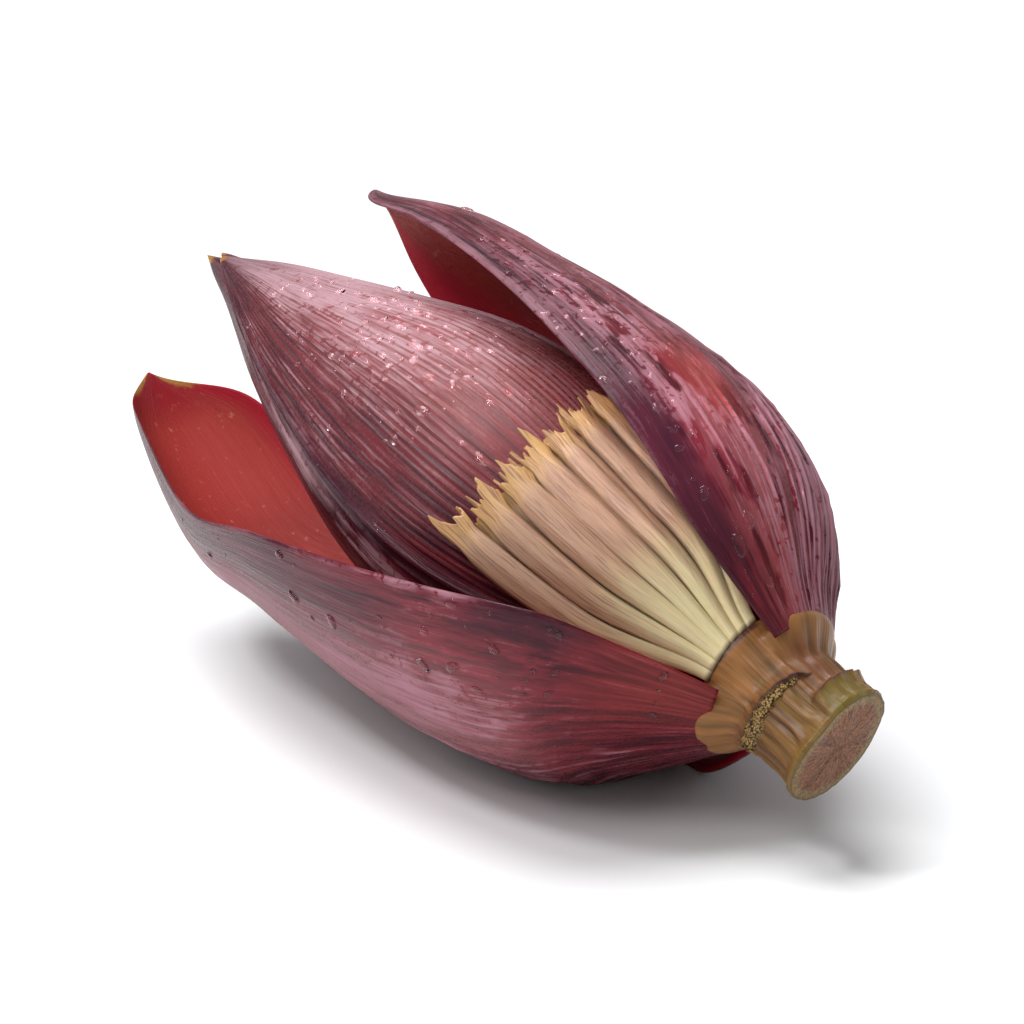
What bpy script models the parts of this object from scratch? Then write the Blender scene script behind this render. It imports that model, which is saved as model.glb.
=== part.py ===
# A banana blossom, cut from its plant and lying down on two of its opened bracts.
# Everything is modelled upright about the blossom's own axis, with the neck at the origin, +Z towards
# the bud's tip and +X towards the side that shows the flowers. One empty then lays the blossom down.
import bmesh
import bpy
import numpy as np
from math import pi, radians

# ---- driving dimensions: metres and degrees ----
gap = 0.0003                     # extra clearance between the bud's heart and the bracts round it

# how the blossom lies
axisRise = 18.75                 # the bud's tip points up by this angle
axisRoll = 54.0                  # the flower side is turned this far from the top
neckPlace = (0.1195, -0.0055, 0.0419)

# bud: the radius at fractions of its length, and how far it bows out of line towards -Y
budLength = 0.252
budStations = (0.0, 0.08, 0.20, 0.35, 0.50, 0.65, 0.80, 0.92, 0.97, 1.0)
budRadii = (0.0070, 0.0200, 0.0328, 0.0425, 0.0403, 0.0306, 0.0183, 0.0072, 0.0034, 0.0004)
bowStations = (0.0, 0.25, 0.50, 0.75, 1.0)
bowSizes = (0.0, 0.0064, 0.0055, 0.0047, 0.0)
budStart = 0.0070                # the solid heart starts this far above the neck
skin = 0.0012                    # thickness of a closed bract
layerGap = 0.0007                # clearance between the layers of the bud

# cut flower stalk below the neck
stalkRadii = ((0.0052, 0.0180), (0.0035, 0.0182), (0.0010, 0.0174), (-0.0040, 0.0166), (-0.0085, 0.0156),
              (-0.0115, 0.0160), (-0.0135, 0.0170), (-0.0160, 0.0161), (-0.0230, 0.0158), (-0.0270, 0.0165),
              (-0.0305, 0.0153))
stalkLean = 4.5

# opened bracts: the outer face at stations from the base to the tip. Height and reach place the midrib,
# bend is the radius of the cross arc, and left and right are the arc's lengths to the two margins.
leafSteps = (0.0, 0.12, 0.28, 0.46, 0.64, 0.82, 0.93, 1.0)
openBracts = {
    "outer_bract_right": {
        "height": (-0.003, 0.017, 0.0485, 0.088, 0.1335, 0.177, 0.2085, 0.223),
        "reach": (0.0214, 0.046, 0.061, 0.065, 0.063, 0.060, 0.0515, 0.0505),
        "bend": (0.0198, 0.0415, 0.0595, 0.063, 0.055, 0.040, 0.024, 0.014),
        "left": (0.020, 0.046, 0.0475, 0.053, 0.0545, 0.0455, 0.018, 0.0),
        "right": (0.0250, 0.0595, 0.0765, 0.0755, 0.062, 0.047, 0.025, 0.0),
        "facing": 100.5, "twist": 8.7, "lean": 11.5},
    "outer_bract_left": {
        "height": (-0.001, 0.022, 0.0385, 0.0815, 0.1485, 0.2045, 0.2515, 0.2705),
        "reach": (0.0214, 0.0445, 0.0585, 0.0705, 0.0755, 0.0795, 0.065, 0.0525),
        "bend": (0.0198, 0.0495, 0.0655, 0.069, 0.061, 0.0415, 0.0225, 0.012),
        "left": (0.0300, 0.0745, 0.1015, 0.1055, 0.0835, 0.0545, 0.0275, 0.0),
        "right": (0.011, 0.030, 0.038, 0.046, 0.066, 0.039, 0.0295, 0.0),
        "facing": -110, "twist": -14.7, "lean": 24},
    "outer_bract_under": {
        "height": (-0.003, 0.019, 0.0505, 0.100, 0.1345, 0.1635, 0.183, 0.195),
        "reach": (0.0218, 0.0532, 0.0686, 0.0852, 0.0949, 0.0945, 0.0875, 0.0840),
        "bend": (0.0198, 0.033, 0.045, 0.0545, 0.068, 0.0485, 0.026, 0.020),
        "left": (0.006, 0.012, 0.015, 0.023, 0.044, 0.043, 0.0185, 0.0),
        "right": (0.008, 0.025, 0.035, 0.0425, 0.0535, 0.0385, 0.017, 0.0),
        "facing": -157.5, "twist": 0, "lean": 10},
}
leafThickness = 0.0033
thinEdge = 0.40                  # a bract's margin and tip, as a share of its full thickness

# flowers: two rows that fan out from the neck over the bud
flowerRows = {"front": {"count": 7, "baseReach": 0.0178, "lift": 0.0100, "shift": 0.0, "slim": 1.0},
              "back": {"count": 6, "baseReach": 0.0150, "lift": 0.0063, "shift": 0.5, "slim": 0.82}}
flowerBase = 0.0063
flowerTop = 0.071
flowerRise = 2.2                 # the flower meets the bud's curve at one part in this of its length
fanSteps = (0.0, 0.22, 0.5, 1.0)
fanFirst = (-27, -25, -19.5, -11)    # the angle of the first flower from base to tip
fanLast = (32, 48, 51, 52)           # and of the last
flowerSteps = (0.0, 0.10, 0.22, 0.45, 0.70, 0.90, 1.0)
flowerWidths = (0.0025, 0.0036, 0.0052, 0.0073, 0.0079, 0.0073, 0.0052)
flowerDepths = (0.0026, 0.0030, 0.0034, 0.0038, 0.0038, 0.0032, 0.0018)


def smooth(stations, values, t):
    # cubic through the stations, each tangent taken from the neighbouring stations
    stations = np.asarray(stations, float)
    values = np.asarray(values, float)
    slopes = np.gradient(values, stations)
    i = np.clip(np.searchsorted(stations, t, side="right") - 1, 0, len(stations) - 2)
    h = stations[i + 1] - stations[i]
    x = (t - stations[i]) / h
    return ((2 * x**3 - 3 * x**2 + 1) * values[i] + (x**3 - 2 * x**2 + x) * h * slopes[i]
            + (3 * x**2 - 2 * x**3) * values[i + 1] + (x**3 - x**2) * h * slopes[i + 1])


def ease(t, low, high):
    # 0 below low, 1 above high, with a smooth rise between them
    x = np.clip((t - low) / (high - low), 0, 1)
    return x * x * (3 - 2 * x)


def material(name, colour, roughness):
    made = bpy.data.materials.new(name)
    made.use_nodes = True
    shader = made.node_tree.nodes["Principled BSDF"]
    shader.inputs["Base Color"].default_value = (*colour, 1)
    shader.inputs["Roughness"].default_value = roughness
    made.diffuse_color = (*colour, 1)
    return made


def piece(name, mesh, paint):
    # a part's object, carried by the empty that lays the blossom down
    made = bpy.data.objects.new(name, mesh)
    blossom.objects.link(made)
    made.parent = axis
    mesh.materials.clear()
    mesh.materials.append(paint)
    mesh.shade_smooth()
    return made


def sheet(name, rows, apex, weights, thickness, offset, paint):
    # an open grid of points closed to one point at the tip, then thickened: offset -1 is inwards, 0 both ways
    count, columns = rows.shape[:2]
    points = [tuple(p) for p in rows.reshape(-1, 3)] + [tuple(apex)]
    faces = []
    for i in range(count - 1):
        for j in range(columns - 1):
            a = i * columns + j
            faces.append((a, a + 1, a + columns + 1, a + columns))
    last = (count - 1) * columns
    for j in range(columns - 1):
        faces.append((last + j, last + j + 1, len(points) - 1))
    mesh = bpy.data.meshes.new(name)
    mesh.from_pydata(points, [], faces)
    made = piece(name, mesh, paint)
    group = made.vertex_groups.new(name="thickness")
    for index, weight in enumerate(weights):
        group.add([index], float(weight), "REPLACE")
    solid = made.modifiers.new("Solidify", "SOLIDIFY")
    solid.thickness = thickness
    solid.offset = offset
    solid.vertex_group = "thickness"
    return made


def budSurface(t, angle, lift):
    # points on the bud at a fraction t of its length and an angle round it, lifted off the heart's skin
    radius = smooth(budStations, budRadii, t) + lift
    bow = -smooth(bowStations, bowSizes, t)
    return np.stack([radius * np.cos(angle), radius * np.sin(angle) + bow, t * budLength + 0 * angle], -1)


def ringLoft(name, rings, paint):
    # a closed body through a row of rings, all with the same number of points, flat at both ends
    build = bmesh.new()
    loops = [[build.verts.new(p) for p in ring] for ring in rings]
    sides = len(loops[0])
    for below, above in zip(loops, loops[1:]):
        for j in range(sides):
            k = (j + 1) % sides
            build.faces.new((below[j], below[k], above[k], above[j]))
    build.faces.new(loops[0][::-1])
    build.faces.new(loops[-1])
    mesh = bpy.data.meshes.new(name)
    build.to_mesh(mesh)
    build.free()
    return piece(name, mesh, paint)


def budHeart(paint):
    # the closed heart of the bud: rings round the bowed axis, from the neck to the tip
    sides, rings = 32, 18
    t = np.linspace(budStart / budLength, 1, rings)[:, None]
    angle = np.linspace(0, 2 * pi, sides, endpoint=False)[None, :]
    return ringLoft("bud_heart", budSurface(t, angle, -gap), paint)


def closedBract(name, low, high, facing, reach, layer, paint):
    # a bract still wrapped round the heart: it spans an arc that narrows to a point at its own tip
    rows, columns = 18, 21
    t = np.linspace(low, high, rows + 1)[:, None]
    share = (t - low) / (high - low)
    half = reach * (1 - share**4)**0.5
    v = np.linspace(-1, 1, columns)[None, :]
    angle = np.radians(facing) + half * v
    lift = layer * (1 - 0.4 * ease(t, 0.86, 1.02)) + 0 * v
    points = budSurface(t, angle, lift)
    apex = budSurface(np.array([high]), np.array([np.radians(facing)]), layer * 0.6)[0]
    weights = (1 - 0.5 * ease(share, 0.75, 1.0)) + 0 * v
    return sheet(name, points[:-1], apex, [*weights[:-1].ravel(), 0.4], skin, 0, paint)


def openBract(name, shape, paint):
    # a bract that has peeled back: arcs strung along a bowed midrib, wide in the middle, closing at the tip
    rows, columns = 24, 17
    u = np.linspace(0, 1, rows + 1)
    height, reach, bend, left, right = (smooth(leafSteps, shape[key], u)[:, None]
                                        for key in ("height", "reach", "bend", "left", "right"))
    lean = np.radians(shape["lean"]) * u[:, None]
    facing = np.radians(shape["facing"] + shape["twist"] * u)[:, None]
    side = np.linspace(-1, 1, columns)[None, :]
    turn = np.where(side < 0, side * right, side * left) / bend
    outward = reach + bend * (np.cos(turn) - 1) * np.cos(lean)
    across = bend * np.sin(turn)
    points = np.stack([outward * np.cos(facing) - across * np.sin(facing),
                       outward * np.sin(facing) + across * np.cos(facing),
                       height + bend * (np.cos(turn) - 1) * np.sin(lean)], -1)
    edge = 1 - (1 - thinEdge) * np.abs(side)**3
    weights = edge * (1 - (1 - thinEdge) * ease(u, 0.6, 1.0))[:, None]
    return sheet(name, points[:-1], points[-1, columns // 2], [*weights[:-1].ravel(), thinEdge**2],
                 leafThickness, -1, paint)


def stalk(paint):
    # the cut stalk: a turned profile with a scar ridge, leaning slightly from the bud's axis
    profile = [(0, stalkRadii[0][0])] + [(r, z) for z, r in stalkRadii] + [(0, stalkRadii[-1][0])]
    mesh = bpy.data.meshes.new("peduncle")
    mesh.from_pydata([(x, 0, z) for x, z in profile], [(i, i + 1) for i in range(len(profile) - 1)], [])
    made = piece("peduncle", mesh, paint)
    turn = made.modifiers.new("Screw", "SCREW")
    turn.steps = 24
    turn.render_steps = 24
    turn.use_merge_vertices = True
    turn.merge_threshold = 0.00001
    made.rotation_euler = (radians(-stalkLean), 0, 0)
    return made


def flower(name, share, row, paint):
    # one flower: flattened oval rings from the neck to its blunt tip, following the bud at a set height
    sides, rings = 8, 9
    t = np.linspace(0, 1, rings)
    height = flowerBase + (flowerTop - flowerBase) * t
    first, last = (np.radians(smooth(fanSteps, angles, t)) for angles in (fanFirst, fanLast))
    angle = first + (last - first) * share
    bud = budSurface(height / budLength, angle, row["lift"])
    neck = np.stack([row["baseReach"] * np.cos(angle), row["baseReach"] * np.sin(angle), height], -1)
    rise = np.sin(pi / 2 * np.minimum(1, flowerRise * t))[:, None]
    spine = neck + (bud - neck) * rise
    width = smooth(flowerSteps, flowerWidths, t) * row["slim"]
    depth = smooth(flowerSteps, flowerDepths, t) * row["slim"]
    outward = np.stack([np.cos(angle), np.sin(angle), 0 * t], -1)
    across = np.stack([-np.sin(angle), np.cos(angle), 0 * t], -1)
    turn = np.linspace(0, 2 * pi, sides, endpoint=False)
    oval = (outward[:, None] * (depth[:, None] * np.cos(turn) / 2)[..., None]
            + across[:, None] * (width[:, None] * np.sin(turn) / 2)[..., None])
    return ringLoft(name, spine[:, None] + oval, paint)


def tabletop():
    # the surface that the blossom lies on: it presses the two lowest bracts flat
    bpy.ops.mesh.primitive_cube_add(size=1)
    made = bpy.context.object
    made.name = "tabletop"
    made.dimensions = (0.5, 0.4, 0.05)
    made.location = (0, 0, -0.025)
    for holder in list(made.users_collection):
        holder.objects.unlink(made)
    cutters.objects.link(made)
    made.hide_render = True
    made.display_type = "WIRE"
    return made


for old in list(bpy.data.objects):
    bpy.data.objects.remove(old)
scene = bpy.context.scene
blossom = bpy.data.collections.new("banana_blossom")
cutters = bpy.data.collections.new("cutters")
for collection in (blossom, cutters):
    scene.collection.children.link(collection)

axis = bpy.data.objects.new("blossom_axis", None)
blossom.objects.link(axis)
axis.rotation_mode = "ZYX"
axis.rotation_euler = (0, radians(axisRise - 90), radians(-axisRoll))
axis.location = neckPlace

bractPaint = material("bract", (0.20, 0.05, 0.07), 0.45)
budPaint = material("bud", (0.33, 0.13, 0.15), 0.45)
flowerPaint = material("flower", (0.60, 0.45, 0.22), 0.6)
stalkPaint = material("stalk", (0.22, 0.14, 0.06), 0.7)

stalk(stalkPaint)
budHeart(budPaint)
closedBract("bud_bract_upper", 0.14, 0.972, 60, radians(112), skin / 2 + layerGap, budPaint)
closedBract("bud_bract_front", 0.14, 0.950, 23.5, radians(57.5), 1.5 * skin + 2 * layerGap, budPaint)

table = tabletop()
for name, shape in openBracts.items():
    leaf = openBract(name, shape, bractPaint)
    press = leaf.modifiers.new("Press flat", "BOOLEAN")
    press.object = table

number = 0
for row in flowerRows.values():
    for k in range(row["count"]):
        number += 1
        share = (k + row["shift"]) / (flowerRows["front"]["count"] - 1)
        flower(f"flower_{number:02d}", share, row, flowerPaint)
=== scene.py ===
# A cut banana blossom with peeled bracts, its young flowers and a short stalk, lying on a pale studio floor.
from math import cos, pi, radians, sin

import bpy
import numpy as np
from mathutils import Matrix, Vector


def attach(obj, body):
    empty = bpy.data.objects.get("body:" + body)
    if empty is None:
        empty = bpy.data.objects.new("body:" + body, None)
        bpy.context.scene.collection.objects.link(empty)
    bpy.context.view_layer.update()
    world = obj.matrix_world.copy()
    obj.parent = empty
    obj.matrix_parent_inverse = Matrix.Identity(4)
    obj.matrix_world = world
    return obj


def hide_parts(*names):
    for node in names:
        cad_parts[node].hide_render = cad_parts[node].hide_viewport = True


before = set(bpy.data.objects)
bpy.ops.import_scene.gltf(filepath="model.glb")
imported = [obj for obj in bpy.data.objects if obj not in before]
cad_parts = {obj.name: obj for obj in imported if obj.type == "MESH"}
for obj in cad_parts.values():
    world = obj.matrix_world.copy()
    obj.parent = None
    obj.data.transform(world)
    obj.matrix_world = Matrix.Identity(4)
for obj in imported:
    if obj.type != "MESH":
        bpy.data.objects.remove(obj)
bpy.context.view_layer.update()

scene = bpy.context.scene

# how the blossom lies: upright, its axis is +Z from the neck to the tip, and the flowers are on its +X side
lie = {"rise": 18.75, "roll": 54.0, "neck": (0.1195, -0.0055, 0.0419),
       "floorGap": 0.00006, "innerGap": 0.00066, "pressSoftness": 0.00025}


def layDown(points):
    # the upright point p goes to neck + Ry(rise - 90) Rz(-roll) p
    b, c = radians(lie["rise"] - 90), radians(-lie["roll"])
    aboutY = np.array([[cos(b), 0, sin(b)], [0, 1, 0], [-sin(b), 0, cos(b)]])
    aboutZ = np.array([[cos(c), -sin(c), 0], [sin(c), cos(c), 0], [0, 0, 1]])
    return points @ (aboutY @ aboutZ).T + np.array(lie["neck"])


def pressFlat(points, lowest):
    # z becomes lowest + w ln(1 + exp((z - lowest) / w)): the same height well above the floor, flat on it
    w = lie["pressSoftness"]
    d = (points[..., 2] - lowest) / w
    pressed = points.copy()
    pressed[..., 2] = lowest + w * np.where(d > 30, d, np.log1p(np.exp(np.minimum(d, 30))))
    return pressed


def smooth(stations, values, t):
    # cubic Hermite curve through the stations, each tangent taken from the neighbouring stations
    stations, values = np.asarray(stations, float), np.asarray(values, float)
    slopes = np.gradient(values, stations)
    i = np.clip(np.searchsorted(stations, t, side="right") - 1, 0, len(stations) - 2)
    h = stations[i + 1] - stations[i]
    x = (t - stations[i]) / h
    return ((2 * x**3 - 3 * x**2 + 1) * values[i] + (x**3 - 2 * x**2 + x) * h * slopes[i]
            + (3 * x**2 - 2 * x**3) * values[i + 1] + (x**3 - x**2) * h * slopes[i + 1])


def ease(t, low, high):
    # x = (t - low) / (high - low) held to 0..1, then 3x^2 - 2x^3
    x = np.clip((t - low) / (high - low), 0, 1)
    return x * x * (3 - 2 * x)


def bump(t, centre, width):
    # exp(-((t - centre) / width)^2)
    return np.exp(-((t - centre) / width)**2)


def drift(x, y, seed):
    # value noise from 0 to 1: random heights on a whole-number lattice, blended with 3f^2 - 2f^3
    x, y = np.broadcast_arrays(x, y)
    size = 128
    lattice = np.random.default_rng(seed).random((size, size))
    i, j = np.floor(x).astype(int), np.floor(y).astype(int)
    fx, fy = ease(x - i, 0, 1), ease(y - j, 0, 1)
    i, j, nextI, nextJ = i % size, j % size, (i + 1) % size, (j + 1) % size
    near = lattice[i, j] * (1 - fy) + lattice[i, nextJ] * fy
    far = lattice[nextI, j] * (1 - fy) + lattice[nextI, nextJ] * fy
    return near * (1 - fx) + far * fx


def cloud(x, y, seed):
    # three octaves of drift, weighted 4 : 2 : 1
    octaves = ((4, 1.0), (2, 2.1), (1, 4.3))
    layers = (weight * drift(scale * x, scale * y, seed + k) for k, (weight, scale) in enumerate(octaves))
    return sum(layers) / 7


def crests(cells, along, seed, sharp=0.8):
    # wavering parallel folds: 1 - |sin(pi c)|^sharp with c pushed about by noise, fading in and out
    c = cells + 1.1 * drift(0.35 * cells + 50, 0.9 * along + 9, seed)
    c += 0.35 * drift(1.3 * cells + 50, 3.0 * along, seed + 1)
    lit = 0.35 + 0.65 * ease(drift(0.9 * cells + 70, 1.6 * along + 5, seed + 2), 0.25, 0.7)
    return (1 - np.abs(np.sin(pi * c))**sharp) * lit


def furrows(across, along, seed):
    # ridged noise, 1 - |2n - 1|: long thin crests that wander, fork and run out
    n = drift(across + 0.7 * drift(0.5 * across, 0.7 * along, seed + 7), along, seed)
    return 1 - np.abs(2 * n - 1)


def gridFaces(rows, columns, wrap):
    # quads (i, j), (i, j+1), (i+1, j+1), (i+1, j) of a grid, closed across when wrap is set
    i = np.arange(rows - 1)[:, None]
    j = np.arange(columns if wrap else columns - 1)[None, :]
    k = (j + 1) % columns
    quads = np.stack(np.broadcast_arrays(i * columns + j, i * columns + k, (i + 1) * columns + k,
                                         (i + 1) * columns + j), -1)
    return quads.reshape(-1, 4)


def fan(ring, centre):
    # triangles from a closed ring of point numbers to one centre point
    return np.stack([ring, np.roll(ring, -1), np.full_like(ring, centre)], -1)


def enclosedVolume(points, faces):
    # sum over the faces' triangles of a . (b x c) / 6
    total = 0.0
    for group in faces:
        for k in range(1, group.shape[1] - 1):
            a, b, c = points[group[:, 0]], points[group[:, k]], points[group[:, k + 1]]
            total += np.einsum("ij,ij->", a, np.cross(b, c)) / 6
    return total


def makePiece(name, points, faces, paint, grain=None, tone=None, trim=None):
    # one closed mesh from point and face arrays, turned the right way out by the sign of its volume
    if enclosedVolume(points, faces) < 0:
        faces = [group[:, ::-1] for group in faces]
    corners = np.concatenate([group.ravel() for group in faces]).astype(np.int32)
    sizes = np.concatenate([np.full(len(group), group.shape[1]) for group in faces])
    mesh = bpy.data.meshes.new(name)
    mesh.vertices.add(len(points))
    mesh.vertices.foreach_set("co", np.ascontiguousarray(points, np.float32).ravel())
    mesh.loops.add(len(corners))
    mesh.loops.foreach_set("vertex_index", corners)
    mesh.polygons.add(len(sizes))
    mesh.polygons.foreach_set("loop_start", np.concatenate([[0], np.cumsum(sizes)[:-1]]).astype(np.int32))
    mesh.update(calc_edges=True)
    if grain is not None:
        mesh.uv_layers.new(name="grain").data.foreach_set("uv", grain[corners].astype(np.float32).ravel())
    for label, values in (("tone", tone), ("trim", trim)):
        if values is not None:
            layer = mesh.attributes.new(label, "FLOAT_COLOR", "POINT")
            layer.data.foreach_set("color", np.ascontiguousarray(values, np.float32).ravel())
    mesh.validate()
    mesh.shade_smooth()
    mesh.materials.append(paint)
    made = bpy.data.objects.new(name, mesh)
    scene.collection.objects.link(made)
    return made


def closedRings(name, rings, paint, grain, tone, trim=None):
    # closed rings one above the other, with a fan of triangles from a middle point at each end
    rows, columns = rings.shape[:2]
    ring = np.arange(columns)
    points = np.concatenate([rings.reshape(-1, 3), rings[0].mean(0)[None], rings[-1].mean(0)[None]])
    faces = [gridFaces(rows, columns, True), fan(ring, len(points) - 2)[:, ::-1],
             fan((rows - 1) * columns + ring, len(points) - 1)]
    values = [v if v is None else np.concatenate([v.reshape(-1, v.shape[-1]), v[0, :1], v[-1, :1]])
              for v in (grain, tone, trim)]
    return makePiece(name, points, faces, paint, *values)


def faceNormals(grid):
    # unit cross product of the grid's two directions, turned away from the hollow side
    n = np.cross(np.gradient(grid, axis=0), np.gradient(grid, axis=1))
    n /= np.maximum(np.linalg.norm(n, axis=-1, keepdims=True), 1e-12)
    middle = grid.mean(axis=1, keepdims=True)
    return n if np.einsum("ijk,ijk->", n, grid - middle) > 0 else -n


surfaces = {}                    # each outer face's points and normals, for the water drops


def shell(name, surface, wall, relief, inset, spread, paint, masks, pressed=False, rows=250, half=140):
    # outer face P(u, s) + n relief(u, s), inner face P - n wall(u, s), joined by a half-round rim at
    # s = -1 and 1. The outer face has four times the columns of the inner one; base and tip are capped
    u = np.linspace(0, 0.9985, rows)[:, None]
    x = np.linspace(-1, 1, 2 * half + 1)[None, :]
    s = x + 0.12 * x * (1 - x * x)
    grid = surface(u, s)
    normal = faceNormals(grid)
    thick = wall(u, s)
    arc = np.linalg.norm(np.diff(grid, axis=1), axis=-1).sum(1)[:, None] / 2
    zone = np.clip(0.9 * thick / np.maximum(arc, 1e-4), 0.03, 0.5)
    into = np.clip((np.abs(s) - (1 - zone)) / zone, 0, 1)
    kept = thick * np.sqrt(np.maximum(1 - into**2, 0.015))
    sink = ((thick - kept) / 2)[..., None]
    outer = grid + normal * (relief(u, s)[..., None] * (1 - into[..., None]) - sink)
    inner = grid - normal * (kept[..., None] + sink - inset(u, s)[..., None] * (1 - into[..., None]))
    if pressed:
        outer = pressFlat(outer, lie["floorGap"])
        inner = pressFlat(inner, lie["innerGap"])
    surfaces[name] = (outer, faceNormals(outer))
    inner = inner[:, ::4][:, ::-1]
    loop = np.concatenate([outer, inner], 1)
    count = loop.shape[1]
    points = np.concatenate([loop.reshape(-1, 3), loop[-1].mean(0)[None]])
    last = (rows - 1) * count + np.arange(count)
    i = np.arange(half // 2)
    far = 2 * half + 1 + half // 2 - i
    base = np.stack([4 * i, 4 * i + 1, 4 * i + 2, 4 * i + 3, 4 * i + 4, far - 1, far], -1)[:, ::-1]
    faces = [gridFaces(rows, count, True), base, fan(last, len(points) - 1)]
    full = [np.broadcast_to(a, (rows, 2 * half + 1)) for a in (u, s)]
    loopU, loopS = (np.concatenate([a, a[:, ::4][:, ::-1]], 1) for a in full)
    within = np.concatenate([np.zeros_like(full[0]), np.ones((rows, half // 2 + 1))], 1)
    tone, trim = masks(loopU, loopS, within)
    grain = np.stack([loopS * spread[0] + 0.5 * within, loopU * spread[1]], -1)
    values = [a.reshape(-1, a.shape[-1]) for a in (grain, tone, trim)]
    return makePiece(name, points, faces, paint, *(np.concatenate([a, a[-1:]]) for a in values))


def stack(*channels):
    # four masks in one colour attribute, each held to 0..1
    return np.clip(np.stack(np.broadcast_arrays(*channels), -1), 0, 1)


def add(tree, kind, **settings):
    node = tree.nodes.new("ShaderNode" + kind)
    for key, value in settings.items():
        setattr(node, key, value)
    return node


def feed(tree, socket, value):
    # a socket is linked, a number or a colour is set on the input itself
    if isinstance(value, bpy.types.NodeSocket):
        tree.links.new(value, socket)
    elif socket.type == "RGBA" and len(value) == 3:
        socket.default_value = (*value, 1)
    else:
        socket.default_value = value


def blend(tree, factor, first, second):
    # first where the factor is 0, second where it is 1
    node = add(tree, "Mix", data_type="RGBA", blend_type="MIX", clamp_factor=True)
    feed(tree, node.inputs[0], factor)
    feed(tree, node.inputs[6], first)
    feed(tree, node.inputs[7], second)
    return node.outputs[2]


def layered(tree, colour, *coats):
    # each coat, a mask and its colour, laid over the ones before it
    for mask, coat in coats:
        colour = blend(tree, mask, colour, coat)
    return colour


def reckon(tree, operation, first, second=0.0, third=0.0):
    node = add(tree, "Math", operation=operation)
    for socket, value in zip(node.inputs, (first, second, third)):
        feed(tree, socket, value)
    return node.outputs[0]


def times(tree, first, second):
    return reckon(tree, "MULTIPLY", first, second)


def timesPlus(tree, first, second, third):
    # first * second + third
    return reckon(tree, "MULTIPLY_ADD", first, second, third)


def between(tree, value, low, high, start=0.0, end=1.0):
    # a smooth rise from start to end as the value goes from low to high
    node = add(tree, "MapRange", interpolation_type="SMOOTHSTEP")
    keys = ("Value", "From Min", "From Max", "To Min", "To Max")
    for key, given in zip(keys, (value, low, high, start, end)):
        feed(tree, node.inputs[key], given)
    return node.outputs[0]


def speck(tree, vector, scale, detail=2.0, roughness=0.5, distortion=0.0):
    node = add(tree, "TexNoise")
    for key, given in (("Vector", vector), ("Scale", scale), ("Detail", detail), ("Roughness", roughness),
                       ("Distortion", distortion)):
        feed(tree, node.inputs[key], given)
    return node.outputs["Fac"]


def stretched(tree, vector, scale):
    node = add(tree, "VectorMath", operation="MULTIPLY")
    feed(tree, node.inputs[0], vector)
    feed(tree, node.inputs[1], scale)
    return node.outputs[0]


def masksOf(tree, label):
    # the four masks painted into a piece's mesh
    node = add(tree, "Attribute", attribute_name=label)
    split = add(tree, "SeparateColor")
    tree.links.new(node.outputs["Color"], split.inputs[0])
    return split.outputs[0], split.outputs[1], split.outputs[2], node.outputs["Alpha"]


def newGroup(name, inputs, outputs):
    group = bpy.data.node_groups.new(name, "ShaderNodeTree")
    for label, kind, value in inputs:
        socket = group.interface.new_socket(label, in_out="INPUT", socket_type=kind)
        if value is not None:
            socket.default_value = value
    for label, kind in outputs:
        group.interface.new_socket(label, in_out="OUTPUT", socket_type=kind)
    return group, group.nodes.new("NodeGroupInput"), group.nodes.new("NodeGroupOutput")


def fibreGroup():
    # fine parallel veins that run along the plant: noise stretched 30 to 1 along the grain, in two widths,
    # and wide blotches
    group, given, out = newGroup("plantFibres",
                                 [("Width", "NodeSocketFloat", 0.001), ("Wander", "NodeSocketFloat", 0.6)],
                                 [(label, "NodeSocketFloat") for label in ("Veins", "Streaks", "Blotches")])
    scaled = add(group, "VectorMath", operation="SCALE")
    feed(group, scaled.inputs[0], add(group, "UVMap", uv_map="grain").outputs[0])
    feed(group, scaled.inputs["Scale"], reckon(group, "DIVIDE", 1.0, given.outputs["Width"]))
    wander = speck(group, stretched(group, scaled.outputs[0], (0.1, 0.05, 0)), 1.0, 1.0)
    slide = add(group, "CombineXYZ")
    feed(group, slide.inputs[0], times(group, wander, given.outputs["Wander"]))
    moved = add(group, "VectorMath", operation="ADD")
    feed(group, moved.inputs[0], stretched(group, scaled.outputs[0], (1, 0.03, 0)))
    feed(group, moved.inputs[1], slide.outputs[0])
    feed(group, out.inputs["Veins"], speck(group, moved.outputs[0], 1.0, 2.5, 0.55))
    wide = stretched(group, moved.outputs[0], (0.28, 0.7, 0))
    feed(group, out.inputs["Streaks"], speck(group, wide, 1.0, 3.0, 0.6))
    patches = stretched(group, scaled.outputs[0], (0.085, 0.045, 0))
    feed(group, out.inputs["Blotches"], speck(group, patches, 1.0, 4.0, 0.62, 0.4))
    return group


fibres = fibreGroup()


def fibreMasks(tree, width, wander):
    # the group's veins, streaks and blotches at a material's own width
    node = add(tree, "Group", node_tree=fibres)
    feed(tree, node.inputs["Width"], width)
    feed(tree, node.inputs["Wander"], wander)
    return [node.outputs[label] for label in ("Veins", "Streaks", "Blotches")]


def newMaterial(name, baseColour, roughness):
    made = bpy.data.materials.new(name)
    made.use_nodes = True
    made.diffuse_color = (*baseColour, 1)
    shader = made.node_tree.nodes["Principled BSDF"]
    shader.inputs["Roughness"].default_value = roughness
    return made, made.node_tree, shader


def addRelief(tree, shader, height, distance, strength):
    node = add(tree, "Bump")
    node.inputs["Strength"].default_value = strength
    node.inputs["Distance"].default_value = distance
    feed(tree, node.inputs["Height"], height)
    tree.links.new(node.outputs[0], shader.inputs["Normal"])


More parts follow.
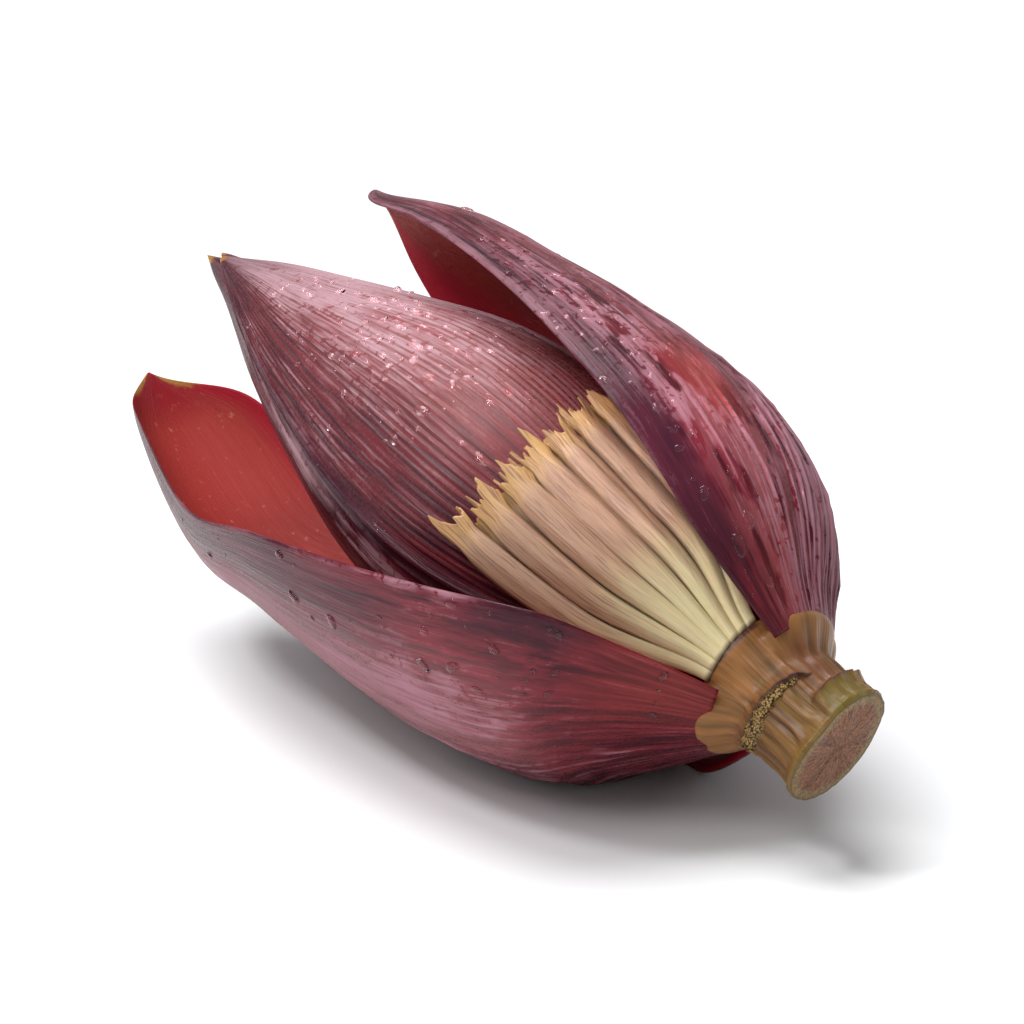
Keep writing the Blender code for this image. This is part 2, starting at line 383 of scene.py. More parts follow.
bractLook = {
    "wine": (0.155, 0.012, 0.022), "deepWine": (0.038, 0.0035, 0.009), "bloom": (0.37, 0.175, 0.22),
    "rose": (0.33, 0.085, 0.095), "violet": (0.036, 0.008, 0.017), "warm": (0.3, 0.04, 0.032),
    "inside": (0.37, 0.034, 0.028), "insideDeep": (0.22, 0.014, 0.01), "crimson": (0.37, 0.008, 0.024),
    "insideFleck": (0.55, 0.19, 0.14), "dryTip": (0.42, 0.19, 0.045), "veinWidth": 0.0007,
    "roughBloom": 0.5, "roughWet": 0.22, "relief": 0.00035,
}


def bractMaterial(name, look):
    # a waxy grey-mauve bloom over wine-red skin, rubbed through along the veins; coral red inside.
    # tone holds bloom, rose, warm and inside; trim holds violet, wet and dry. The bloom mask also carries
    # painted highlights on rims and crests, the violet mask painted shade along overlapped edges and the bud's
    # lower side
    made, tree, shader = newMaterial(name, look["wine"], 0.4)
    bloomMask, roseMask, warmMask, insideMask = masksOf(tree, "tone")
    violetMask, wetMask, dryMask, _ = masksOf(tree, "trim")
    veins, streaks, blotches = fibreMasks(tree, look["veinWidth"], 2.0)
    place = add(tree, "TexCoord").outputs["Object"]
    grit = speck(tree, place, 900.0)
    flecks = speck(tree, place, 330.0, 3.0, 0.6)
    skin = blend(tree, between(tree, streaks, 0.36, 0.62), look["deepWine"], look["wine"])
    cover = bloomMask         # the bloom lies thick where its mask and the fibres add up
    for lines, weight in ((streaks, 1.2), (veins, 0.9), (blotches, 0.9)):
        cover = timesPlus(tree, reckon(tree, "SUBTRACT", lines, 0.5), weight, cover)
    bare = times(tree, between(tree, flecks, 0.56, 0.66), timesPlus(tree, wetMask, 0.6, 0.25))
    film = between(tree, reckon(tree, "SUBTRACT", cover, bare), 0.12, 0.82)
    outer = layered(tree, skin, (roseMask, look["rose"]), (times(tree, film, 0.92), look["bloom"]),
                    (times(tree, violetMask, 0.8), look["violet"]),
                    (times(tree, warmMask, between(tree, streaks, 0.3, 0.7, 0.5, 1.0)), look["warm"]))
    inner = blend(tree, between(tree, streaks, 0.45, 0.95), look["insideDeep"], look["inside"])
    inner = layered(tree, inner, (times(tree, roseMask, 0.75), look["inside"]),
                    (times(tree, between(tree, flecks, 0.63, 0.74), 0.45), look["insideFleck"]),
                    (violetMask, look["crimson"]))
    dry = between(tree, timesPlus(tree, grit, 0.4, dryMask), 0.35, 0.8)
    feed(tree, shader.inputs["Base Color"], layered(tree, outer, (insideMask, inner), (dry, look["dryTip"])))
    rough = timesPlus(tree, film, look["roughBloom"] - look["roughWet"], look["roughWet"])
    for mask, weight in ((grit, 0.12), (insideMask, 0.25), (wetMask, -0.08)):
        rough = timesPlus(tree, mask, weight, rough)
    feed(tree, shader.inputs["Roughness"], rough)
    shader.inputs["Specular IOR Level"].default_value = 0.15
    addRelief(tree, shader, timesPlus(tree, grit, 0.06, veins), look["relief"], 0.8)
    return made


budLook = dict(bractLook, bloom=(0.43, 0.255, 0.29), wine=(0.155, 0.014, 0.019), rose=(0.33, 0.105, 0.108),
               roughBloom=0.4, veinWidth=0.0007, relief=0.0004)
bractPaint = bractMaterial("waxyBract", bractLook)
budPaint = bractMaterial("budBract", budLook)


flowerLook = {
    "cream": (0.76, 0.66, 0.37), "blush": (0.362, 0.21, 0.128), "tip": (0.52, 0.3, 0.11),
    "dryEdge": (0.4, 0.2, 0.065), "vein": (0.2, 0.095, 0.068), "streak": (0.36, 0.17, 0.1),
    # the last colour here is the dark brown of painted shade between and inside the tubes
    "paintedShade": (0.07, 0.03, 0.012), "veinWidth": 0.00034,
}


def flowerMaterial(name, look):
    # cream at the base, blush with fine brown veins in the middle, dry yellow-orange teeth at the tip.
    # tone holds blush, tip, dry edge and painted shade (dark at each tube's base, inside its mouth and on its
    # flanks and back)
    made, tree, shader = newMaterial(name, look["blush"], 0.45)
    blushMask, tipMask, edgeMask, paintedShadeMask = masksOf(tree, "tone")
    veins, streaks, _ = fibreMasks(tree, look["veinWidth"], 0.8)
    lines = times(tree, between(tree, veins, 0.5, 0.62), timesPlus(tree, blushMask, 0.75, 0.06))
    skin = blend(tree, blushMask, look["cream"], look["blush"])
    # the last coat is painted shade where the tubes crowd each other and the bud
    skin = layered(tree, skin, (tipMask, look["tip"]), (lines, look["vein"]),
                   (between(tree, streaks, 0.42, 0.75, 0.0, 0.3), look["streak"]),
                   (edgeMask, look["dryEdge"]), (paintedShadeMask, look["paintedShade"]))
    feed(tree, shader.inputs["Base Color"], skin)
    feed(tree, shader.inputs["Roughness"], between(tree, streaks, 0.2, 0.8, 0.36, 0.56))
    shader.inputs["Subsurface Weight"].default_value = 0.12
    shader.inputs["Subsurface Radius"].default_value = (0.004, 0.0022, 0.001)
    shader.inputs["Subsurface Scale"].default_value = 0.6
    addRelief(tree, shader, veins, 0.00016, 0.7)
    return made


flowerPaint = flowerMaterial("youngFlower", flowerLook)


stalkLook = {
    "olive": (0.205, 0.106, 0.025), "brown": (0.095, 0.04, 0.013), "dark": (0.03, 0.013, 0.005),
    "tan": (0.33, 0.145, 0.045), "gold": (0.4, 0.245, 0.08), "green": (0.14, 0.095, 0.018),
    "purple": (0.045, 0.01, 0.016), "core": (0.32, 0.135, 0.066), "coreDark": (0.08, 0.034, 0.02),
    "cortex": (0.29, 0.18, 0.075), "cortexDark": (0.15, 0.1, 0.05), "ring": (0.1, 0.085, 0.02),
    "blushRed": (0.19, 0.058, 0.034), "veinWidth": 0.0009,
}


def stalkMaterial(name, look):
    # streaked olive-brown skin with a granular scar, and a speckled cut face with darker spokes.
    # tone holds tan, gold scar, green and purple rim; trim holds cut face, its core, its ring and red
    made, tree, shader = newMaterial(name, look["olive"], 0.45)
    tanMask, goldMask, greenMask, purpleMask = masksOf(tree, "tone")
    faceMask, coreMask, ringMask, redMask = masksOf(tree, "trim")
    veins, streaks, _ = fibreMasks(tree, look["veinWidth"], 1.2)
    place = add(tree, "TexCoord").outputs["Object"]
    grit = speck(tree, place, 1500.0, 2.0, 0.6)
    grains = add(tree, "TexVoronoi", feature="F1")
    feed(tree, grains.inputs["Vector"], place)
    feed(tree, grains.inputs["Scale"], 1700.0)
    grain = grains.outputs["Distance"]
    tan = blend(tree, between(tree, streaks, 0.34, 0.74, 0.0, 0.75), look["tan"], look["brown"])
    granular = blend(tree, between(tree, grain, 0.25, 0.75), look["gold"], look["dark"])
    skin = blend(tree, between(tree, streaks, 0.38, 0.62), look["brown"], look["olive"])
    skin = layered(tree, skin, (between(tree, streaks, 0.52, 0.72, 0.0, 0.7), look["dark"]), (tanMask, tan),
                   (greenMask, look["green"]), (redMask, look["blushRed"]),
                   (between(tree, veins, 0.52, 0.75, 0.0, 0.35), look["dark"]), (goldMask, granular),
                   (purpleMask, look["purple"]))
    fleck = between(tree, grit, 0.44, 0.6)
    spokes = timesPlus(tree, fleck, 0.55, times(tree, between(tree, veins, 0.4, 0.62), 0.45))
    core = blend(tree, spokes, look["coreDark"], look["core"])
    cortex = blend(tree, fleck, look["cortexDark"], look["cortex"])
    face = layered(tree, cortex, (coreMask, core), (ringMask, look["ring"]))
    feed(tree, shader.inputs["Base Color"], blend(tree, faceMask, skin, face))
    rough = between(tree, streaks, 0.3, 0.7, 0.28, 0.48)
    feed(tree, shader.inputs["Roughness"], timesPlus(tree, faceMask, 0.22, rough))
    shader.inputs["Specular IOR Level"].default_value = 0.25
    dips = times(tree, reckon(tree, "SUBTRACT", 1.0, grain), times(tree, goldMask, 1.6))
    height = timesPlus(tree, grit, timesPlus(tree, faceMask, 0.9, 0.1), reckon(tree, "ADD", veins, dips))
    addRelief(tree, shader, height, 0.00035, 0.8)
    return made


stalkPaint = stalkMaterial("cutStalk", stalkLook)


def waterMaterial():
    made, tree, shader = newMaterial("waterDrop", (0.9, 0.9, 0.95), 0.0)
    shader.inputs["Base Color"].default_value = (0.93, 0.85, 0.87, 1)
    shader.inputs["Transmission Weight"].default_value = 1.0
    shader.inputs["IOR"].default_value = 1.33
    shader.inputs["Roughness"].default_value = 0.02
    return made


waterPaint = waterMaterial()
print("materials ready")


bud = {
    "length": 0.252,
    "stations": (0.0, 0.08, 0.2, 0.35, 0.5, 0.65, 0.8, 0.92, 0.97, 1.0),
    "radii": (0.007, 0.02, 0.0328, 0.0425, 0.0403, 0.0306, 0.0183, 0.0072, 0.0034, 0.0004),
    "bowStations": (0.0, 0.25, 0.5, 0.75, 1.0), "bow": (0.0, 0.0064, 0.0055, 0.0047, 0.0),
    "skin": 0.0012, "layerGap": 0.0007, "heartInset": 0.0004, "start": 0.007, "rib": 0.0004, "swell": 0.0005,
}


def budSurface(t, angle, lift):
    # (r cos a, r sin a - bow, t L) with r(t) + lift: rings about a slightly bowed axis
    radius = smooth(bud["stations"], bud["radii"], t) + lift
    bow = -smooth(bud["bowStations"], bud["bow"], t)
    x, y = radius * np.cos(angle), radius * np.sin(angle) + bow
    return np.stack(np.broadcast_arrays(x, y, t * bud["length"]), -1)


def budRibs(share, v):
    # ribs fanning from the tip to the base, about 2.3 mm apart at the widest ring
    c = 21 * v + 40 + 0.8 * drift(3 * v + 20, 4 * share, 23) + 0.25 * drift(18 * v + 40, 9 * share, 24)
    strength = 0.45 + 0.55 * drift(7 * v + 40, 3 * share + 9, 25)
    return 0.5 - 0.5 * np.cos(2 * pi * c) * strength


def budHeart():
    # rings of the bud's own surface from the neck to the tip, both ends closed
    t = np.linspace(bud["start"] / bud["length"], 1, 260)[:, None]
    angle = np.linspace(0, 2 * pi, 240, endpoint=False)[None, :]
    relief = 0.0004 * (furrows(9 * np.cos(angle) + 30, 3 * t + 2 * np.sin(angle) + 9, 51) - 0.6)
    rings = layDown(budSurface(t, angle, relief * ease(1 - t, 0.03, 0.2) - bud["heartInset"]))
    t, angle = np.broadcast_arrays(t, angle)
    bloomed = 0.26 + 0.5 * (cloud(6 * (angle / pi + 4), 7 * t, 61) - 0.5)
    # painted shade: a dark line on the heart just past the upper bract's lower edge, where that edge overhangs
    # it
    groove = bump(angle, 2 * pi - radians(58), 0.1)
    tone = stack(bloomed, 0.1, 0, 0)
    trim = stack(0.45 + 0.55 * groove + 0.3 * ease(t, 0.75, 0.95), 0, ease(t, 0.965, 1.0), 0)
    grain = np.stack([angle * 0.04, t * bud["length"]], -1)
    return closedRings("budCore", rings, budPaint, grain, tone, trim)


closedBracts = {
    "bractUpper": {"node": "bud_bract_upper", "low": 0.14, "high": 0.972, "facing": 60, "reach": radians(112),
                   "layer": bud["skin"] / 2 + bud["layerGap"], "lip": 0.0004},
    "bractFront": {"node": "bud_bract_front", "low": 0.14, "high": 0.95, "facing": 23.5, "reach": radians(57.5),
                   "layer": 1.5 * bud["skin"] + 2 * bud["layerGap"], "lip": 0.0012},
}


def closedBract(name, given):
    # budSurface over an arc of half width reach sqrt(1 - share^4) that closes at the bract's own tip
    def surface(share, v):
        t = given["low"] + (given["high"] - given["low"]) * share
        half = given["reach"] * np.sqrt(1 - share**4)
        lift = given["layer"] * (1 - 0.4 * ease(t, 0.86, 1.02)) + bud["skin"] / 2
        lip = given["lip"] * ease(np.abs(v), 0.93, 1.0) * ease(1 - share, 0.0, 0.15)
        return layDown(budSurface(t, radians(given["facing"]) + half * v, lift + lip))

    def wall(share, v):
        return bud["skin"] * (1 - 0.5 * ease(share, 0.75, 1.0)) + 0 * v

    def relief(share, v):
        quiet = ease(1 - share, 0.02, 0.3) * (1 - np.abs(v)**8)
        swell = bud["swell"] * (furrows(5 * v + 40, 2 * share, 11) - 0.8)
        return (bud["rib"] * (budRibs(share, v) - 1) + swell) * quiet

    def masks(share, v, within):
        t = given["low"] + (given["high"] - given["low"]) * share
        patchy = cloud(5 * v + 20, 6 * share, 71)
        # the bloom follows the ribs and is lighter on their crests, partly bloom and partly painted highlight
        bloomed = 0.36 + 0.45 * (patchy - 0.45) + 0.44 * (budRibs(share, v) - 0.5)
        if name == "bractFront":
            # the crown of the bract is dusty rose; the lower side is darker with more violet, its own colour
            # deepened by painted shade
            crown = bump(v, 0.35, 0.75) * bump(share, 0.5, 0.42)
            bloomed += 0.14 * crown + 0.3 * ease(share, 0.45, 0.8) * ease(v, -0.5, 0.3)
            bloomed -= 0.52 * (1 - ease(share, 0.15, 0.52)) + 0.28 * ease(-v, -0.1, 0.5)
            rose = 0.75 * crown
            bloomed += 0.5 * ease(v, 0.9, 0.97)
            violet = 0.85 * ease(-v, 0.9, 0.99) + 0.35 * ease(share, 0.8, 0.97)
            # painted shade: more violet over the lower side
            violet += 0.42 * ease(-v, 0.05, 0.6)
        else:
            rose = 0.25 * bump(v, 0.1, 0.5)
            violet = 0.55 * ease(v, 0.15, 0.6) + 0.3 * ease(share, 0.8, 1.0)
            bloomed -= 0.1
            # painted shade: a dark line just beside the lower edge of the front bract, which overlaps this one;
            # more violet on the strip beyond it
            violet += 0.95 * bump(v, -0.865, 0.035) + 0.3 * ease(-v, 0.7, 0.8)
        tone = stack(bloomed * (1 - 0.6 * within), rose, 0.35 * bump(t, 0.12, 0.08), within)
        wet = 0.3 * bump(v, -0.1, 0.7) * bump(share, 0.4, 0.35)
        return tone, stack(violet, wet, ease(share, 0.978, 1.0), 0)

    made = shell(name, surface, wall, relief, lambda share, v: 0 * share * v, (0.055, 0.205), budPaint, masks,
                 rows=270)
    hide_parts(given["node"])
    return made


leafSteps = (0.0, 0.12, 0.28, 0.46, 0.64, 0.82, 0.93, 1.0)
openBracts = {
    "bractRight": {
        "node": "outer_bract_right",
        "height": (-0.0045, 0.017, 0.0485, 0.088, 0.1335, 0.177, 0.2085, 0.223),
        "reach": (0.0206, 0.046, 0.061, 0.065, 0.063, 0.06, 0.0515, 0.0505),
        "bend": (0.0198, 0.0415, 0.0595, 0.063, 0.055, 0.04, 0.024, 0.014),
        "left": (0.02, 0.046, 0.0475, 0.053, 0.0545, 0.0455, 0.018, 0.0),
        "right": (0.025, 0.0595, 0.0765, 0.0755, 0.062, 0.047, 0.025, 0.0),
        "facing": 100.5, "twist": 8.7, "lean": 11.5, "pressed": False, "spread": (0.066, 0.235), "pleats": 18},
    "bractLeft": {
        "node": "outer_bract_left",
        "height": (-0.001, 0.022, 0.0385, 0.0815, 0.1485, 0.2045, 0.2515, 0.2705),
        "reach": (0.0214, 0.0445, 0.0585, 0.0705, 0.0755, 0.0795, 0.065, 0.0525),
        "bend": (0.0198, 0.0495, 0.0655, 0.069, 0.061, 0.0415, 0.0225, 0.012),
        "left": (0.03, 0.0745, 0.1015, 0.1055, 0.0835, 0.0545, 0.0275, 0.0),
        "right": (0.011, 0.03, 0.038, 0.046, 0.066, 0.039, 0.0295, 0.0),
        "facing": -110, "twist": -14.7, "lean": 24, "pressed": True, "spread": (0.08, 0.285), "pleats": 20},
    "bractUnder": {
        "node": "outer_bract_under",
        "height": (-0.003, 0.019, 0.0505, 0.1, 0.1345, 0.1635, 0.183, 0.195),
        "reach": (0.0218, 0.0532, 0.0686, 0.0852, 0.0949, 0.0945, 0.0875, 0.084),
        "bend": (0.0198, 0.033, 0.045, 0.0545, 0.068, 0.0485, 0.026, 0.02),
        "left": (0.006, 0.012, 0.015, 0.023, 0.044, 0.043, 0.0185, 0.0),
        "right": (0.008, 0.025, 0.035, 0.0425, 0.0535, 0.0385, 0.017, 0.0),
        "facing": -157.5, "twist": 0, "lean": 10, "pressed": True, "spread": (0.045, 0.205), "pleats": 12},
}
leaf = {"wall": 0.0033, "thinEdge": 0.4, "fold": 0.0008, "pleat": 0.001, "fine": 0.00016}


def openBract(name, given):
    # arcs of radius bend strung along a bowed midrib: out = reach + bend (cos a - 1) cos lean,
    # across = bend sin a, up = height + bend (cos a - 1) sin lean, with a = arc / bend
    def surface(u, s):
        height, reach, bend, left, right = (smooth(leafSteps, given[key], u)
                                            for key in ("height", "reach", "bend", "left", "right"))
        lean = radians(given["lean"]) * u
        facing = np.radians(given["facing"] + given["twist"] * u)
        turn = np.where(s < 0, s * right, s * left) / bend
        out = reach + bend * (np.cos(turn) - 1) * np.cos(lean)
        across = bend * np.sin(turn)
        return layDown(np.stack([out * np.cos(facing) - across * np.sin(facing),
                                 out * np.sin(facing) + across * np.cos(facing),
                                 height + bend * (np.cos(turn) - 1) * np.sin(lean)], -1))

    def wall(u, s):
        edge = 1 - (1 - leaf["thinEdge"]) * np.abs(s)**3
        tip = (1 - (1 - leaf["thinEdge"]) * ease(u, 0.6, 1.0)) * (1 - 0.6 * ease(u, 0.88, 1.0))
        return leaf["wall"] * edge * tip

    def folds(u, s):
        return crests(given["pleats"] * s + 40, 3 * u, 27, 0.7)

    def relief(u, s):
        if name == "bractRight":
            strong = 0.25 + 0.95 * ease(s, -0.7, -0.45) * (1 - ease(u, 0.38, 0.6))
        elif name == "bractLeft":
            strong = 0.25 + 0.75 * bump(s, 0.3, 0.28) * bump(u, 0.22, 0.2)
        else:
            strong = 0.5
        quiet = ease(1 - u, 0.02, 0.2) * ease(u, 0.0, 0.05) * (1 - np.abs(s)**6)
        shape = (leaf["fold"] * (furrows(6 * s + 40, 2 * u, 11) - 0.9) * (0.4 + strong)
                 + leaf["pleat"] * (folds(u, s) - 0.95) * strong
                 + leaf["fine"] * (crests(2 * given["pleats"] * s + 40, 5 * u, 33) - 0.95))
        return shape * quiet

    def innerRelief(u, s):
        return 0.4 * relief(u, s)

    def masks(u, s, within):
        patchy = cloud(6 * s + 20, 7 * u, 81)
        fold = ease(folds(u, s), 0.3, 0.62)
        finer = crests(2 * given["pleats"] * s + 40, 5 * u, 33)
        outer = 1 - within
        mottle = ease(cloud(24 * s + 40, 26 * u + 7, 91), 0.48, 0.62)
        bloomed = 0.33 + 0.5 * (patchy - 0.5) + 0.22 * (finer - 0.3)
        if name == "bractRight":
            # mauve ridge and pleat crests on the far side, the crests lightened as painted highlights; a lilac
            # rim toward the tip, partly bloom and partly a painted highlight on the edge; wet band by the near
            # rim
            bloomed += 0.32 * ease(s, -0.62, -0.25) * ease(u, 0.36, 0.55)
            # pleat crests: bloom, lightened further as painted highlights
            bloomed += (0.06 + 0.75 * fold) * ease(s, -0.62, -0.42) * (1 - ease(u, 0.38, 0.55))
            # the thin lilac line on the near rim: bloom, brightened as a painted highlight on the edge
            bloomed += 0.34 * bump(s, -0.98, 0.05) * ease(u, 0.33, 0.44)
            bloomed += 0.32 * bump(s, -0.72, 0.18) * bump(u, 0.45, 0.22)
            bloomed -= 0.25 * (1 - ease(s, -0.8, -0.55)) * (1 - ease(u, 0.14, 0.34))
            bloomed -= 0.75 * mottle * bump(s, -0.7, 0.15) * bump(u, 0.38, 0.15)
            bloomed -= 0.28 * bump(s, -0.59, 0.13) * bump(u, 0.32, 0.1)
            rose = 0.35 * ease(s, -0.8, -0.4) * ease(u, 0.35, 0.6)
            rose += 0.55 * bump(s, -0.62, 0.2) * (1 - ease(u, 0.3, 0.5)) * (1 - mottle)
            violet = ease(-s, 0.78, 0.9) * ease(u, 0.03, 0.12) * (1 - 0.5 * ease(u, 0.36, 0.5)) * outer
            warm = 0.9 * bump(s, -0.59, 0.1) * bump(u, 0.32, 0.08)
            warm += 0.35 * bump(s, -0.66, 0.15) * (1 - ease(u, 0.05, 0.14))
            wet = bump(s, -0.75, 0.25)
        elif name == "bractLeft":
            # thin lilac rim, partly bloom and partly a painted highlight on the edge, mottled wet wine under
            # it, mauve streaks, pale wrinkles on the belly, warm base
            # the thin lilac rim: bloom, brightened as a painted highlight along the edge
            bloomed += 0.4 * bump(s, 1.0, 0.022) * ease(u, 0.34, 0.46) * (1 - ease(u, 0.8, 0.88)) - 0.26
            bloomed -= (0.1 + 0.75 * mottle) * bump(s, 0.86, 0.1) * bump(u, 0.34, 0.2)
            bloomed += 0.3 * bump(s, 0.6, 0.16) * ease(u, 0.15, 0.35)
            bloomed += 0.16 * bump(s, 0.62, 0.22) * bump(u, 0.5, 0.25)
            bloomed += 0.55 * fold * bump(s, 0.3, 0.25) * (1 - ease(u, 0.4, 0.6)) * ease(u, 0.03, 0.1)
            bloomed -= 0.35 * (1 - ease(u, 0.04, 0.26)) * ease(s, 0.3, 0.6)
            rose = 0.5 * bump(s, 0.55, 0.3) * ease(u, 0.05, 0.3)
            violet = 0.85 * ease(s, 0.84, 0.95) * (1 - ease(u, 0.32, 0.44)) * ease(u, 0.1, 0.2)
            violet = (violet + (0.7 * bump(s, 0.86, 0.13) + 0.22) * ease(u, 0.36, 0.6)) * outer
            warm = 0.6 * (1 - ease(u, 0.03, 0.18)) * ease(s, 0.4, 0.8)
            wet = bump(s, 0.86, 0.14)
        else:
            rose, violet, warm, wet = 0.1, 0.2 * outer, 0.3 * (1 - ease(u, 0.0, 0.2)), 0.3
        crimson = ease(np.abs(s), 0.72, 0.95) * 0.95 + 0.6 * ease(u, 0.92, 0.98)
        if name == "bractRight":
            crimson = ease(s, 0.3, 0.72) + ease(-s, 0.8, 0.97)
        innerRose = within * ease(u, 0.78, 0.88) * (1 - ease(u, 0.92, 0.99))
        tone = stack(bloomed * outer, rose * outer + innerRose, warm * outer, within)
        dryInside = (0.15 + 0.75 * ease(np.abs(s), 0.55, 0.95)) * ease(u, 0.95, 0.99) * within
        dry = np.maximum(ease(u, 0.945, 0.985) * outer, dryInside)
        return tone, stack(violet * outer + crimson * within, wet * ease(1 - u, 0.2, 0.5), dry, 0)

    made = shell(name, surface, wall, relief, innerRelief, given["spread"], bractPaint, masks,
                 given["pressed"])
    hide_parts(given["node"])
    return made


flowerRows = {"front": {"count": 7, "baseReach": 0.017, "lift": 0.0102, "shift": 0.0, "slim": 1.0},
              "back": {"count": 6, "baseReach": 0.015, "lift": 0.0066, "shift": 0.5, "slim": 0.9}}
fanOut = {
    "base": 0.0046, "top": 0.071, "rise": 2.2,
    "steps": (0.0, 0.22, 0.5, 1.0), "first": (-27, -25, -19.5, -11), "last": (32, 48, 51, 52),
    "widthSteps": (0.0, 0.1, 0.22, 0.45, 0.68, 0.84, 0.92, 1.0),
    "widths": (0.0033, 0.004, 0.0054, 0.0077, 0.0086, 0.0083, 0.0073, 0.0078),
    "depths": (0.0028, 0.0036, 0.0046, 0.0056, 0.0056, 0.005, 0.004, 0.0044),
}


def flower(number, share, row):
    # oval tube: spine(t) + out(t) d(t)/2 cos a + across(t) w(t)/2 sin a, open at the top, where it splits
    # into teeth
    rng = np.random.default_rng(100 + number)
    sides, rings, innerRings = 56, 110, 16
    top = fanOut["top"] + 0.0035 * (2 * share - 1)**2 + rng.uniform(-0.0008, 0.0012)
    if row["slim"] < 1:
        top -= 0.002
    a = np.linspace(0, 2 * pi, sides, endpoint=False)[None, :]
    phase = rng.uniform(0, 2 * pi)
    tooth = np.abs(np.cos(1.5 * a + phase))**0.7
    around = 4 + 2 * np.cos(a), 4 + 2 * np.sin(a)
    ragged = 0.5 * drift(*around, 300 + number) + 0.5 * drift(3 * around[0], 3 * around[1], 400 + number)
    crown = 0.0006 + 0.008 * (1 - tooth) * (0.1 + 1.2 * ragged) + 0.0042 * (ragged - 0.5)
    t = np.concatenate([np.linspace(0, 1, rings), np.linspace(1, 0.9, innerRings)])[:, None]
    inside = np.concatenate([np.zeros(rings), np.ones(innerRings)])[:, None]
    height = fanOut["base"] + (top - fanOut["base"]) * t + (crown - 0.0035) * ease(t, 0.82, 1.0)
    first, last = (np.radians(smooth(fanOut["steps"], fanOut[key], t)) for key in ("first", "last"))
    wave = radians(rng.uniform(-0.8, 0.8)) * np.sin(2.6 * t + phase) * ease(t, 0.1, 0.6)
    angle = first + (last - first) * share + wave
    out = np.stack([np.cos(angle), np.sin(angle), 0 * angle], -1)
    across = np.stack([-np.sin(angle), np.cos(angle), 0 * angle], -1)
    neck = row["baseReach"] * out + height[..., None] * np.array([0, 0, 1.0])
    risen = fanOut["rise"] * (height - fanOut["base"]) / (fanOut["top"] - fanOut["base"])
    climb = np.maximum(np.sin(pi / 2 * np.minimum(1, risen)), 0)[..., None]
    spine = neck + (budSurface(height / bud["length"], angle, row["lift"]) - neck) * climb
    width = smooth(fanOut["widthSteps"], fanOut["widths"], t) * row["slim"] * (1 + rng.uniform(-0.03, 0.05))
    depth = smooth(fanOut["widthSteps"], fanOut["depths"], t) * row["slim"]
    lobes = 1 + 0.05 * np.cos(3 * a + phase) + 0.035 * np.cos(7 * a + 2 * phase) * ease(t, 0.1, 0.4)
    seamAt = phase + 0.5 * np.sin(2 * t + phase)
    groove = 0.1 * np.exp(-(np.sin((a - seamAt) / 2) / 0.07)**2) * ease(t, 0.12, 0.4)
    flare = 1 + (0.1 + 0.22 * (ragged - 0.5)) * ease(t, 0.9, 1.0)
    size = (lobes - groove) * flare - inside * 0.16 / np.maximum(depth / 0.0044, 0.5)
    tube = spine + out * (depth / 2 * size * np.cos(a))[..., None]
    tube = layDown(tube + across * (width / 2 * size * np.sin(a))[..., None])
    tt = t + 0 * a
    blush = ease(tt + 0.1 * (cloud(3 * a + 20, 5 * t, 500 + number) - 0.5), 0.16, 0.5)
    tipped = ease(tt + 0.1 * (ragged - 0.5), 0.8, 0.97)
    dryEdge = 0.7 * ease(tt, 0.975, 1.0) + 0.35 * inside
    # painted shade: darkened at the very base, inside the mouth, and on the flanks and back where tubes touch
    # their neighbours and the bud
    flanks = ease(-np.cos(a), -0.42, 0.1)
    paintedShade = 0.8 * (1 - ease(tt, 0.0, 0.02)) + 0.3 * inside
    paintedShade += 0.85 * flanks * ease(tt, 0.02, 0.2) * (1 - ease(tt, 0.85, 0.97))
    tone = stack(blush, tipped, dryEdge, paintedShade)
    grain = np.stack(np.broadcast_arrays(a * 0.0032 + number * 0.05, tt * 0.066), -1)
    made = closedRings(f"flower{number:02d}", tube, flowerPaint, grain, tone)
    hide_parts(f"flower_{number:02d}")
    return made


stalk = {
    "profile": ((0.0052, 0.0178), (0.0035, 0.018), (0.0005, 0.0172), (-0.004, 0.0162), (-0.0085, 0.0154),
                (-0.0115, 0.0156), (-0.016, 0.0152), (-0.023, 0.0151), (-0.0275, 0.0157), (-0.0305, 0.0158)),
    "lean": 4.5, "ribs": 21, "ribHeight": 0.00035, "end": -0.0305, "tilt": 0.0034, "tiltFrom": -40,
    "scarAngles": (-130, -86, -47, -27, -8, 7, 20, 37, 60),
    "scarHeights": (-6.5, -7.8, -10.4, -10.9, -11.4, -12.4, -13.2, -14.9, -15.5),
    "bandEnds": (-9.0, -12.5, -14.9, -14.9, -14.7, -14.5, -14.6, -15.0, -15.6),
    "ledgeAngles": (0, 19, 33, 46, 59, 91, 130),
    "ledgeHeights": (-22.6, -21.8, -21.4, -20.4, -19.8, -18.4, -17.5),
    "pads": ((22, 52, 138, 164, -0.0006, 0.006), (-154, -128, -60, -22, 0.001, 0.0066),
             (166, 178, 208, 222, -0.003, 0.005)),
}


